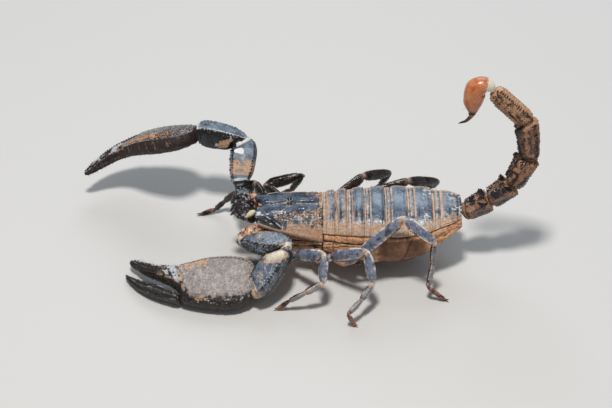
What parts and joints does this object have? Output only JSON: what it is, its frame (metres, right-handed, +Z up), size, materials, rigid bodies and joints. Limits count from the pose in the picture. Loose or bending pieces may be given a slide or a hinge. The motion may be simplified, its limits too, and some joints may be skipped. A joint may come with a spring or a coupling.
{
  "type": "scorpion",
  "caption": "Life-size still model of a forest scorpion in a defensive stance, its tail arched over its back, the right claw raised and the left claw laid on the ground.",
  "frame": {"origin": "on the ground under the middle of the whole animal's box", "axes": "+Z up, the head towards -X, the animal's left side towards -Y"},
  "size_m": [0.1108, 0.0572, 0.0534],
  "materials": {
    "shell": "glossy slate-blue cuticle with dust in its furrows",
    "plate": "glossy blue-grey back plates with dusty front bands",
    "claw": "granular mauve-grey hands with glossy black fingers",
    "tail": "brown cuticle with black granules on the keels",
    "venom": "smooth orange-red vesicle",
    "membrane": "folded tan skin between the plates",
    "belly": "smooth brown belly plates",
    "limb": "glossy dark legs with dusty joints",
    "fang": "hard dark brown tips",
    "eye": "polished black lens"
  },
  "bodies": {
    "root": {"eye_left": "eye", "eye_right": "eye", "carapace": "shell", "coxae": "shell", "chelicera_left": "fang", "chelicera_right": "fang", "tergite_1": "plate", "tergite_2": "plate", "tergite_3": "plate", "tergite_4": "plate", "tergite_5": "plate", "tergite_6": "plate", "tergite_7": "plate", "pleura": "membrane", "belly": "belly", "pecten_left": "membrane", "pecten_right": "membrane", "tail_1": "tail", "tail_2": "tail", "tail_3": "tail", "tail_4": "tail", "tail_5": "tail", "telson": "venom", "sting": "fang", "pedipalp_left_trochanter": "shell", "pedipalp_left_femur": "shell", "pedipalp_left_patella": "shell", "pedipalp_left_hand": "claw", "pedipalp_left_finger": "claw", "pedipalp_right_trochanter": "shell", "pedipalp_right_femur": "shell", "pedipalp_right_patella": "shell", "pedipalp_right_hand": "claw", "pedipalp_right_finger": "claw", "leg_left_1_femur": "limb", "leg_left_1_patella": "limb", "leg_left_1_foot": "limb", "leg_left_2_femur": "limb", "leg_left_2_patella": "limb", "leg_left_2_foot": "limb", "leg_left_3_femur": "limb", "leg_left_3_patella": "limb", "leg_left_3_foot": "limb", "leg_left_4_femur": "limb", "leg_left_4_patella": "limb", "leg_left_4_foot": "limb", "leg_right_1_femur": "limb", "leg_right_1_patella": "limb", "leg_right_1_foot": "limb", "leg_right_2_femur": "limb", "leg_right_2_patella": "limb", "leg_right_2_foot": "limb", "leg_right_3_femur": "limb", "leg_right_3_patella": "limb", "leg_right_3_foot": "limb", "leg_right_4_femur": "limb", "leg_right_4_patella": "limb", "leg_right_4_foot": "limb"}
  },
  "joints": []
}
